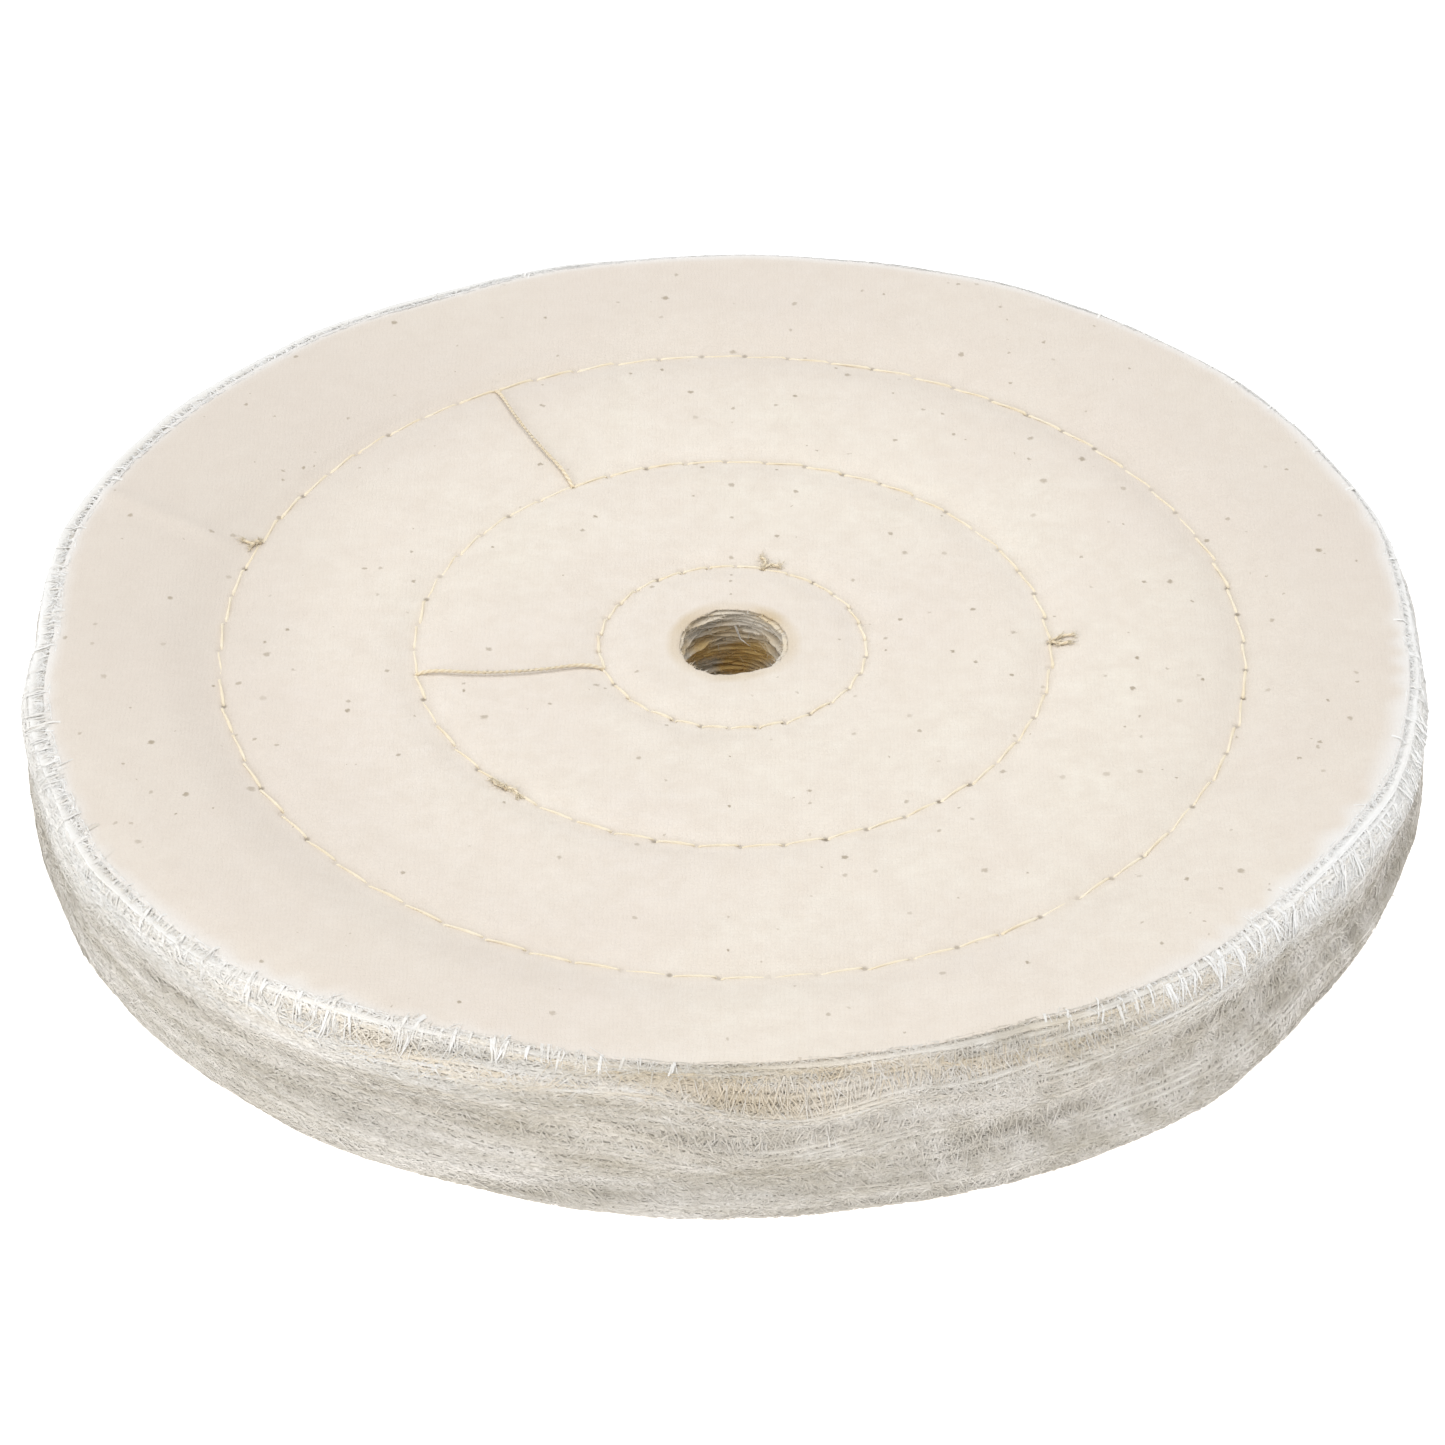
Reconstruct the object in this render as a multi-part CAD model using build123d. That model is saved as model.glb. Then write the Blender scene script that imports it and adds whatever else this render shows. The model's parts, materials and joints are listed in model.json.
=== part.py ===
from build123d import *
import math
import os

# A sewn buffing wheel: forty discs of unbleached calico, stacked flat around a
# plain arbor hole and sewn together by three rings of lockstitch. The seams
# pull the stack down into shallow valleys, and the unsewn rim swells a little.
# Millimetres. The arbor hole runs along Z, and the origin is in the middle of
# it, at half the wheel's thickness.

# The wheel
WHEEL_RADIUS = 75.0
RIM_HALF_THICKNESS = 8.0
PLY_COUNT = 40
EDGE_TRIM = 3.0  # the outermost plies are cut this much smaller than the middle ones
EDGE_ROUNDING = 4  # power that keeps that trim near the two faces

# The arbor hole
ARBOR_RADIUS = 6.35
ARBOR_CLEARANCE = 0.1
BORE_RADIUS = ARBOR_RADIUS + ARBOR_CLEARANCE

# The seams: radius, number of stitches, and the angle of one needle hole in degrees
SEAMS = {
    "inner": (14.4, 30, -31.2),
    "middle": (34.2, 48, 91.6),
    "outer": (55.0, 70, -29.5),
}

# Half of the stack's height along a radius
LAND_HALF_THICKNESS = 7.3  # between the seams, where flanges clamp the wheel
SEAM_HALF_THICKNESS = 6.6  # on a seam
EDGE_HALF_THICKNESS = 7.0  # at the cut edge
SEAM_FLOOR = 0.9  # half-width of a valley's flat floor
SEAM_VALLEY = 2.6  # half-width of the whole valley
RIM_LAND = (61.0, 69.0)  # the flat ring that the wheel lies on

# The thread
THREAD_RADIUS = 0.22
NEEDLE_HOLE_RADIUS = 0.36  # two strands of thread fill it
TAIL_RADIUS = 0.18
TAIL_REACH = 3.2  # how far a tail runs out from its seam
TAIL_SPREAD = 45.0  # degrees to each side of straight out
TAIL_RISE = 0.3  # gap under the tail's end
JUMP_RISE = 0.08  # gap between a jump thread and the land under it
JUMP_SHOULDER = 2.4  # run over which a jump thread climbs out of a valley
JUMP_BEND_RADIUS = 2.0

# Where the thread jumps from one seam to the next: needle hole numbers, counted
# from each seam's first hole
JUMPS = {
    "inner_to_middle": (("inner", 19), ("middle", 13)),
    "middle_to_outer": (("middle", 4), ("outer", 29)),
}

# Where the thread ends come out: seam, needle hole number
TAILS = {
    "inner_seam": ("inner", 9),
    "middle_seam_start": ("middle", 36),
    "middle_seam_end": ("middle", 18),
    "outer_seam": ("outer", 37),
}

os.makedirs("parts", exist_ok=True)


def hole_place(seam, number, height):
    """Centre of one needle hole of a seam, at a height."""
    radius, stitches, first_angle = SEAMS[seam]
    angle = math.radians(first_angle + 360.0 * number / stitches)
    return Vector(radius * math.cos(angle), radius * math.sin(angle), height)


def stack_profile():
    """Half the stack's height, as (radius, height) points from the bore to the edge."""
    points = [(BORE_RADIUS, LAND_HALF_THICKNESS)]
    for radius, _, _ in SEAMS.values():
        points.append((radius - SEAM_VALLEY, LAND_HALF_THICKNESS))
        points.append((radius - SEAM_FLOOR, SEAM_HALF_THICKNESS))
        points.append((radius + SEAM_FLOOR, SEAM_HALF_THICKNESS))
        points.append((radius + SEAM_VALLEY, LAND_HALF_THICKNESS))
    points += [(radius, RIM_HALF_THICKNESS) for radius in RIM_LAND]
    return points


def edge_height(radius):
    """Half the stack's height between the rim's land and the cut edge."""
    share = (radius - RIM_LAND[1]) / (WHEEL_RADIUS - RIM_LAND[1])
    return RIM_HALF_THICKNESS + share * (EDGE_HALF_THICKNESS - RIM_HALF_THICKNESS)


def needle_holes():
    """Every hole that the needle made, right through the stack."""
    holes = []
    for seam, (_, stitches, _) in SEAMS.items():
        for number in range(stitches):
            foot = hole_place(seam, number, -RIM_HALF_THICKNESS)
            holes.append(Solid.make_cylinder(NEEDLE_HOLE_RADIUS, 2 * RIM_HALF_THICKNESS, Plane(foot)))
    return holes


def ply(index, holes):
    """One disc of cloth, counted from the bottom, filling its share of the stack's height."""
    bottom = 2 * index / PLY_COUNT - 1
    top = 2 * (index + 1) / PLY_COUNT - 1
    middle = (bottom + top) / 2
    edge = WHEEL_RADIUS - EDGE_TRIM * abs(middle) ** EDGE_ROUNDING
    profile = stack_profile() + [(edge, edge_height(edge))]
    outline = [(radius, height * top) for radius, height in profile]
    outline += [(radius, height * bottom) for radius, height in reversed(profile)]
    section = Plane.XZ * make_face(Polyline(*outline, close=True))
    disc = revolve(section, Axis.Z).solid()
    return disc.cut(*holes)


def rod(start, end, radius):
    """A round rod between two points."""
    run = end - start
    return Solid.make_cylinder(radius, run.length, Plane(start, z_dir=run))


def needle_thread(seam):
    """The upper thread of a seam: a square-section stitch between each two holes, and round legs to mid-stack."""
    stitches = SEAMS[seam][1]
    outline = Sketch()
    legs = []
    for number in range(stitches):
        start = hole_place(seam, number, 0)
        end = hole_place(seam, number + 1, 0)
        run = end - start
        turn = math.degrees(math.atan2(run.Y, run.X))
        outline += Pos(*start) * Circle(NEEDLE_HOLE_RADIUS)
        outline += Pos(*((start + end) / 2)) * Rot(0, 0, turn) * Rectangle(run.length, 2 * THREAD_RADIUS)
        legs.append(Solid.make_cylinder(NEEDLE_HOLE_RADIUS, SEAM_HALF_THICKNESS, Plane(start)))
    stitch_ring = Pos(0, 0, SEAM_HALF_THICKNESS) * extrude(outline, 2 * THREAD_RADIUS)
    return stitch_ring.solid().fuse(*legs)


def jump_thread(start_hole, end_hole, seam_threads):
    """The thread carried across the face from one seam to the next."""
    low = SEAM_HALF_THICKNESS + THREAD_RADIUS
    high = LAND_HALF_THICKNESS + JUMP_RISE + THREAD_RADIUS
    start = hole_place(*start_hole, low)
    end = hole_place(*end_hole, low)
    along = (end - start).normalized()
    lift = Vector(0, 0, high - low)
    crest_start = start + along * JUMP_SHOULDER + lift
    crest_end = end - along * JUMP_SHOULDER + lift
    path = FilletPolyline(start, crest_start, crest_end, end, radius=JUMP_BEND_RADIUS)
    section = Plane(path @ 0, z_dir=path % 0) * Circle(THREAD_RADIUS)
    thread = sweep(section, path).solid()
    return thread.cut(*seam_threads)


def thread_tails(seam, number, seam_thread):
    """Two cut thread ends that come out at one hole and lie outwards on the cloth."""
    height = SEAM_HALF_THICKNESS + THREAD_RADIUS
    rise = LAND_HALF_THICKNESS + TAIL_RISE + TAIL_RADIUS - height
    root = hole_place(seam, number, height)
    outward = Vector(root.X, root.Y, 0).normalized()
    tails = []
    for turn in (-TAIL_SPREAD, TAIL_SPREAD):
        reach = TAIL_REACH / math.cos(math.radians(turn))
        tip = root + outward.rotate(Axis.Z, turn) * reach + Vector(0, 0, rise)
        tails.append(rod(root, tip, TAIL_RADIUS).cut(seam_thread).solid())
    return tails


def export(name, *solids):
    """Write one node."""
    shape = solids[0] if len(solids) == 1 else Compound(children=list(solids))
    export_step(shape, f"parts/{name}.step")


def on_underside(solid):
    """The same piece mirrored to the lower face."""
    return solid.mirror(Plane.XY)


# The stack of cloth
all_holes = needle_holes()
for ply_index in range(PLY_COUNT):
    ply_name = f"ply_{ply_index + 1:02d}"
    if ply_index == 0:
        ply_name = "face_ply_bottom"
    if ply_index == PLY_COUNT - 1:
        ply_name = "face_ply_top"
    export(ply_name, ply(ply_index, all_holes))

# The seams: needle thread above, bobbin thread below
threads = {seam: needle_thread(seam).solid() for seam in SEAMS}
for seam_name, thread in threads.items():
    export(f"needle_thread_{seam_name}_seam", thread)
    export(f"bobbin_thread_{seam_name}_seam", on_underside(thread))

# The thread carried from seam to seam
for jump_name, (from_hole, to_hole) in JUMPS.items():
    jump = jump_thread(from_hole, to_hole, [threads[from_hole[0]], threads[to_hole[0]]]).solid()
    export(f"needle_jump_{jump_name}", jump)
    export(f"bobbin_jump_{jump_name}", on_underside(jump))

# The cut ends of the thread
for tail_name, (tail_seam, tail_hole) in TAILS.items():
    tail_pair = thread_tails(tail_seam, tail_hole, threads[tail_seam])
    export(f"needle_tails_{tail_name}", *tail_pair)
    export(f"bobbin_tails_{tail_name}", *[on_underside(tail) for tail in tail_pair])
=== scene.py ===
import json
import math

import bpy
import numpy as np
from mathutils import Matrix, Vector


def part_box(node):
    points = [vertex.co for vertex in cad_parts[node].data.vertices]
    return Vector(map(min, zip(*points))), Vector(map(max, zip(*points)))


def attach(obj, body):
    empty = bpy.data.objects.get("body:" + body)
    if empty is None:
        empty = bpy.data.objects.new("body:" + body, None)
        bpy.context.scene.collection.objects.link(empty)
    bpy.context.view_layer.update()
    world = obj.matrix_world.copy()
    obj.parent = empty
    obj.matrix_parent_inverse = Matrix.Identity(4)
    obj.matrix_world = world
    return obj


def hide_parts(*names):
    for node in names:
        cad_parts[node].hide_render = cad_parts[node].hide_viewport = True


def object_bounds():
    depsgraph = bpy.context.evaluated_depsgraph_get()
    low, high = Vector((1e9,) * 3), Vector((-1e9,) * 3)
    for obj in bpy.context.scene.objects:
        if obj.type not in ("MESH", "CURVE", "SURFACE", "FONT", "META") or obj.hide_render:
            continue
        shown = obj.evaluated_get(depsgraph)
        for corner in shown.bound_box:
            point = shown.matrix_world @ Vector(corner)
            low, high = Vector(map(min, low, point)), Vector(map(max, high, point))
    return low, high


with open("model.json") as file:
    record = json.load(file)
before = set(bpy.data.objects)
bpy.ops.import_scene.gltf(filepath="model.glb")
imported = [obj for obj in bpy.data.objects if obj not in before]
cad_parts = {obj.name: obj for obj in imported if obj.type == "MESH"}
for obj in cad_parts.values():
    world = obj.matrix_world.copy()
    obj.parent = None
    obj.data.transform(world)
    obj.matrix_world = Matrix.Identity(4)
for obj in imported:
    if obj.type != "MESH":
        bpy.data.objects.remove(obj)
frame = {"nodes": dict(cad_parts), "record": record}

# A sewn calico buffing wheel. Metres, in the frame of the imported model: the arbor
# hole runs along Z and the wheel lies flat.

MM = 0.001
CAD_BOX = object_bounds()
MOUNTS = {mount["name"]: mount for mount in frame["record"]["mounts"]}

# The wheel's sizes
PLIES = sum("ply" in name for name in frame["nodes"])
WHEEL_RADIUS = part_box("ply_20")[1][0]
RIM_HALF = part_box("face_ply_top")[1][2]
BORE_RADIUS = MOUNTS["arbor_hole"]["dims"]["r_mm"] * MM
LAND_HALF = MOUNTS["flange_seat_top"]["pos_m"][2]
SEAM_HALF = 6.8 * MM
SEAM_FLOOR = 0.9 * MM
SEAM_VALLEY = 2.6 * MM
RIM_LAND = (61.0 * MM, 69.0 * MM)
CORNER_ROUNDING = 0.7 * MM  # of the stack's profile

# Each seam: radius, stitches and the angle of its first needle hole in degrees
SEAMS = {
    "inner": (14.4 * MM, 30, -31.2),
    "middle": (34.2 * MM, 48, 91.6),
    "outer": (55.0 * MM, 70, -29.5),
}

# How much further in the rim's top lies than its bottom, along an even slant, at listed angles, in mm
SLANT = (
    (-180, 0.0), (-150, 0.2), (-130, 1.2), (-112, 3.6), (-90, 4.9), (-65, 5.2), (-45, 2.4), (-20, 0.3),
    (0, 0.0), (180, 0.0),
)
# How much each face's plies are cut back besides, round the shoulder
UPPER_TRIM = (
    (-180, 0.6), (-150, 1.2), (-130, 1.5), (-112, 1.3), (-90, 1.1), (-65, 1.1), (-45, 1.5),
    (-20, 1.4), (0, 0.9), (45, 0.3), (90, 0.2), (135, 0.3), (180, 0.6),
)
LOWER_TRIM = (
    (-180, 0.5), (-135, 0.4), (-90, 0.1), (-45, 0.6), (0, 0.7), (90, 0.6), (180, 0.5),
)
# How much further in the upper face ply's own edge lies than the plies under it, in mm
FACE_SETBACK = (
    (-180, 1.5), (-150, 1.0), (-130, 0.6), (-105, 0.35), (-60, 0.35), (-42, 0.6), (-15, 0.8), (10, 0.7),
    (60, 0.5), (100, 0.8), (125, 1.4), (150, 1.7), (180, 1.5),
)
# Where some of the upper plies lie back in a groove: all of it at the front
GROOVED_FRONT = ((-180, 0.0), (-128, 0.2), (-112, 1.0), (-58, 1.0), (-42, 0.2), (-20, 0.0), (180, 0.0))
# How much the rim's two shoulders drop below the rim's land, in mm
SHOULDER_DROP = (
    (-180, 0.7), (-120, 1.0), (-90, 1.3), (-60, 1.2), (-20, 0.8), (45, 0.2), (90, 0.0), (135, 0.2),
    (180, 0.7),
)
SHOULDER_POWER = 3.4  # power that keeps the trim near the two faces
SHOULDER = (67.0 * MM, 76.0 * MM)  # radii between which the shoulders drop
LOOSE_RIM = (57.0 * MM, 71.0 * MM)  # radii between which the sewn stack turns into loose plies
# How far the cut rim stands out from a true circle, in mm
RIM_OUTLINE = (
    (-180, -0.5), (-165, 1.0), (-150, 1.8), (-130, 1.5), (-110, 0.8), (-90, 0.9), (-70, 0.9), (-50, 1.1),
    (-35, -0.5), (-15, -0.5), (0, -1.0), (15, 0.2), (30, 0.7), (60, 0.0), (90, -0.2), (115, -0.3), (130, 1.5),
    (150, 1.7), (165, 1.9), (180, -0.5),
)


# ---------------------------------------------------------------- small helpers

def soft_step(value, low, high):
    """0 below low, 1 above high, and smooth between."""
    share = np.clip((value - low) / (high - low), 0.0, 1.0)
    return share * share * (3 - 2 * share)


def round_noise(seed, rows, steps, row_reach, angle_reach):
    """Random relief of spread 1, in rows of plies by steps of angle round the wheel, smoothed both ways."""
    draw = np.random.default_rng(seed).normal(size=(rows, steps))
    turns = np.fft.rfftfreq(steps, 1.0 / steps)
    soften = np.exp(-0.5 * (turns * math.radians(angle_reach)) ** 2)
    draw = np.fft.irfft(np.fft.rfft(draw, axis=1) * soften, n=steps, axis=1)
    if row_reach > 0:
        rows_apart = np.arange(rows)[:, None] - np.arange(rows)[None, :]
        draw = np.exp(-0.5 * (rows_apart / row_reach) ** 2) @ draw
    return draw / draw.std()


def unit(vectors):
    return vectors / np.linalg.norm(vectors, axis=-1, keepdims=True)


def round_points(radius, angle, height):
    return np.stack([radius * np.cos(angle), radius * np.sin(angle), height], axis=-1)


def at_angles(table, angles):
    """A periodic value at each angle (radians), from listed (degrees, value) pairs."""
    degrees, values = zip(*table)
    return np.interp(np.degrees(angles), degrees, values)


def half_height(radius):
    """Half of the stack's height along a radius: flat lands, valleys at the seams, a swollen rim."""
    points = [(0.0, LAND_HALF)]
    for seam_radius, _, _ in SEAMS.values():
        points.append((seam_radius - SEAM_VALLEY, LAND_HALF))
        points.append((seam_radius - SEAM_FLOOR, SEAM_HALF))
        points.append((seam_radius + SEAM_FLOOR, SEAM_HALF))
        points.append((seam_radius + SEAM_VALLEY, LAND_HALF))
    points += [(RIM_LAND[0], RIM_HALF), (WHEEL_RADIUS, RIM_HALF)]
    radii, heights = zip(*points)
    spread = np.linspace(-CORNER_ROUNDING, CORNER_ROUNDING, 5)
    return np.mean([np.interp(radius + step, radii, heights) for step in spread], axis=0)


def deselect():
    bpy.ops.object.select_all(action="DESELECT")


def put_in_scene(name, data):
    thing = bpy.data.objects.new(name, data)
    bpy.context.scene.collection.objects.link(thing)
    return thing


def new_piece(name, points, faces, material, attributes=(), smooth=True):
    """A mesh object from arrays of points and of equal-sided faces, with values per point."""
    mesh = bpy.data.meshes.new(name)
    sides = faces.shape[1]
    mesh.vertices.add(len(points))
    mesh.vertices.foreach_set("co", np.ascontiguousarray(points, dtype=np.float32).ravel())
    mesh.loops.add(faces.size)
    mesh.loops.foreach_set("vertex_index", np.ascontiguousarray(faces, dtype=np.int32).ravel())
    mesh.polygons.add(len(faces))
    mesh.polygons.foreach_set("loop_start", np.arange(len(faces), dtype=np.int32) * sides)
    mesh.update(calc_edges=True)
    mesh.polygons.foreach_set("use_smooth", np.full(len(faces), smooth))
    for label, values in dict(attributes).items():
        layer = mesh.attributes.new(label, "FLOAT", "POINT")
        layer.data.foreach_set("value", np.ascontiguousarray(values, dtype=np.float32).ravel())
    mesh.validate()
    mesh.materials.append(material)
    return put_in_scene(name, mesh)


# ------------------------------------------------------------------ materials

def wire(tree, source, target):
    tree.links.new(source, target)


def add_node(tree, kind, settings=None, **inputs):
    """A shader node, with its settings and its inputs: a number, a colour or another node's socket."""
    node = tree.nodes.new("ShaderNode" + kind)
    for name, value in (settings or {}).items():
        setattr(node, name, value)
    for name, value in inputs.items():
        key = int(name[1:]) if name[0] == "i" and name[1:].isdigit() else name.replace("_", " ")
        if isinstance(value, bpy.types.NodeSocket):
            wire(tree, value, node.inputs[key])
        else:
            node.inputs[key].default_value = value
    return node


def maths(tree, operation, *values):
    inputs = {f"i{place}": value for place, value in enumerate(values)}
    return add_node(tree, "Math", {"operation": operation}, **inputs).outputs[0]


def ramp(tree, value, low, high, to_low=0.0, to_high=1.0):
    """A value mapped from one range to another, and clamped."""
    node = add_node(tree, "MapRange", None, i0=value, i1=low, i2=high, i3=to_low, i4=to_high)
    return node.outputs[0]


def mix_colour(tree, share, first, second):
    node = add_node(tree, "Mix", {"data_type": "RGBA"}, i0=share, i6=first, i7=second)
    return node.outputs[2]


def mix_value(tree, share, first, second):
    node = add_node(tree, "Mix", {"data_type": "FLOAT"}, i0=share, i2=first, i3=second)
    return node.outputs[0]


def vector_maths(tree, operation, first, second):
    """The second input is a number where a vector is scaled, and otherwise a vector."""
    second = {"Scale" if operation == "SCALE" else "i1": second}
    return add_node(tree, "VectorMath", {"operation": operation}, i0=first, **second).outputs[0]


def length_of(tree, across, along):
    squares = [maths(tree, "POWER", side, 2.0) for side in (across, along)]
    return maths(tree, "SQRT", maths(tree, "ADD", *squares))


def greatest(tree, masks):
    top = masks[0]
    for mask in masks[1:]:
        top = maths(tree, "MAXIMUM", top, mask)
    return top


def paint_over(tree, colour, coats):
    """A colour with coats of others over it, each through its own mask."""
    for mask, coat in coats:
        colour = mix_colour(tree, mask, colour, coat)
    return colour


def new_group(name, inputs, outputs):
    """An empty node group with named inputs and outputs."""
    group = bpy.data.node_groups.new(name, "ShaderNodeTree")
    for label, kind, value in inputs:
        socket = group.interface.new_socket(label, in_out="INPUT", socket_type=kind)
        if value is not None:
            socket.default_value = value
    for label, kind in outputs:
        group.interface.new_socket(label, in_out="OUTPUT", socket_type=kind)
    return group, group.nodes.new("NodeGroupInput"), group.nodes.new("NodeGroupOutput")


def plain_weave_group():
    """Over-and-under yarns of a plain weave in the X-Y plane, with uneven yarns."""
    group, given, result = new_group(
        "plain weave",
        [("Vector", "NodeSocketVector", None), ("Yarn Pitch", "NodeSocketFloat", 0.45 * MM)],
        [("Height", "NodeSocketFloat"), ("Slub", "NodeSocketFloat")],
    )
    place, pitch = given.outputs["Vector"], given.outputs["Yarn Pitch"]
    wander = add_node(group, "TexNoise", None, Vector=place, Scale=420.0, Detail=3.0)
    offset = vector_maths(group, "SUBTRACT", wander.outputs["Color"], (0.5, 0.5, 0.5))
    moved = vector_maths(group, "ADD", place, vector_maths(group, "SCALE", offset, 0.9 * MM))
    axes = add_node(group, "SeparateXYZ", None, i0=moved)
    turn = maths(group, "DIVIDE", math.pi, pitch)
    waves = [maths(group, "MULTIPLY", axes.outputs[axis], turn) for axis in (0, 1)]
    across, along = [maths(group, "SINE", wave) for wave in waves]
    parity = ramp(group, maths(group, "MULTIPLY", across, along), -0.15, 0.15)
    warp, weft = maths(group, "ABSOLUTE", across), maths(group, "ABSOLUTE", along)
    wire(group, mix_value(group, parity, weft, warp), result.inputs["Height"])
    slubs = []
    for scale in ((70.0, 1500.0, 1.0), (1500.0, 70.0, 1.0)):
        stretch = vector_maths(group, "MULTIPLY", place, scale)
        noise = add_node(group, "TexNoise", None, Vector=stretch, Scale=1.0, Detail=3.0)
        slubs.append(noise.outputs[0])
    wire(group, maths(group, "MULTIPLY", maths(group, "ADD", *slubs), 0.5), result.inputs["Slub"])
    return group


def seed_fleck_group():
    """Small dark specks of cotton seed, scattered in the X-Y plane."""
    group, given, result = new_group(
        "seed flecks",
        [
            ("Vector", "NodeSocketVector", None),
            ("Cells", "NodeSocketFloat", 200.0),
            ("Size", "NodeSocketFloat", 0.1),
            ("Share", "NodeSocketFloat", 0.1),
        ],
        [("Mask", "NodeSocketFloat")],
    )
    place = given.outputs["Vector"]
    wander = add_node(group, "TexNoise", None, Vector=place, Scale=2600.0, Detail=1.0)
    moved = vector_maths(group, "ADD", place, vector_maths(group, "SCALE", wander.outputs["Color"], 0.5 * MM))
    flat = {"voronoi_dimensions": "2D"}
    cells = add_node(group, "TexVoronoi", flat, Vector=moved, Scale=given.outputs["Cells"])
    colour = add_node(group, "SeparateXYZ", None, i0=cells.outputs["Color"])
    chosen = maths(group, "LESS_THAN", colour.outputs[0], given.outputs["Share"])
    size = maths(group, "MULTIPLY", given.outputs["Size"], maths(group, "ADD", 0.4, colour.outputs[1]))
    speck = maths(group, "SUBTRACT", 1.0, maths(group, "DIVIDE", cells.outputs["Distance"], size))
    spot = ramp(group, speck, 0.0, 0.5)
    strength = maths(group, "MULTIPLY", spot, ramp(group, colour.outputs[2], 0.0, 1.0, 0.35, 1.0))
    wire(group, maths(group, "MULTIPLY", strength, chosen), result.inputs["Mask"])
    return group


def needle_hole_shade_group():
    """Painted shade of the needle holes, evenly spaced round one seam, each of its own strength."""
    group, given, result = new_group(
        "needle hole shade",
        [
            ("Vector", "NodeSocketVector", None),
            ("Seam Radius", "NodeSocketFloat", 0.05),
            ("Stitches", "NodeSocketFloat", 50.0),
            ("First Hole", "NodeSocketFloat", 0.0),
        ],
        [("Mask", "NodeSocketFloat")],
    )
    seam_radius, stitches = given.outputs["Seam Radius"], given.outputs["Stitches"]
    axes = add_node(group, "SeparateXYZ", None, i0=given.outputs["Vector"])
    angle = maths(group, "ARCTAN2", axes.outputs[1], axes.outputs[0])
    angle = maths(group, "SUBTRACT", angle, given.outputs["First Hole"])
    pitches = maths(group, "DIVIDE", maths(group, "MULTIPLY", angle, stitches), 2 * math.pi)
    number = maths(group, "ROUND", pitches)
    pitch = maths(group, "DIVIDE", maths(group, "MULTIPLY", seam_radius, 2 * math.pi), stitches)
    along = maths(group, "MULTIPLY", maths(group, "SUBTRACT", pitches, number), pitch)
    across = maths(group, "SUBTRACT", length_of(group, axes.outputs[0], axes.outputs[1]), seam_radius)
    dot = ramp(group, length_of(group, along, across), 0.16 * MM, 0.42 * MM, 1.0, 0.0)
    own_number = maths(group, "ADD", maths(group, "FLOORED_MODULO", number, stitches), stitches)
    chance = add_node(group, "TexWhiteNoise", {"noise_dimensions": "1D"}, W=own_number)
    strength = ramp(group, chance.outputs["Value"], 0.35, 1.0, 0.1, 0.95)
    wire(group, maths(group, "MULTIPLY", dot, strength), result.inputs["Mask"])
    return group


def use_group(tree, group, **inputs):
    return add_node(tree, "Group", {"node_tree": group}, **inputs)


def new_material(name, roughness):
    material = bpy.data.materials.new(name)
    material.use_nodes = True
    tree = material.node_tree
    shader = tree.nodes["Principled BSDF"]
    shader.inputs["Roughness"].default_value = roughness
    shader.inputs["Specular IOR Level"].default_value = 0.2
    shader.inputs["Sheen Weight"].default_value = 0.25
    shader.inputs["Sheen Roughness"].default_value = 0.6
    place = add_node(tree, "TexCoord").outputs["Object"]
    return material, tree, shader, place


def value_of(tree, label):
    """A value stored on the cloth's points."""
    return add_node(tree, "Attribute", {"attribute_name": label}).outputs["Fac"]


def stretched_noise(tree, place, scale, detail=3.0, roughness=0.5):
    """Noise with its own scale along X, Y and Z, in waves per metre."""
    stretch = add_node(tree, "Mapping", None, Vector=place, Scale=scale)
    grain = {"Scale": 1.0, "Detail": detail, "Roughness": roughness}
    return add_node(tree, "TexNoise", None, Vector=stretch.outputs[0], **grain).outputs[0]


def bumped(tree, shader, height, distance):
    bump = add_node(tree, "Bump", None, Strength=1.0, Distance=distance, Height=height)
    wire(tree, bump.outputs[0], shader.inputs["Normal"])


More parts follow.
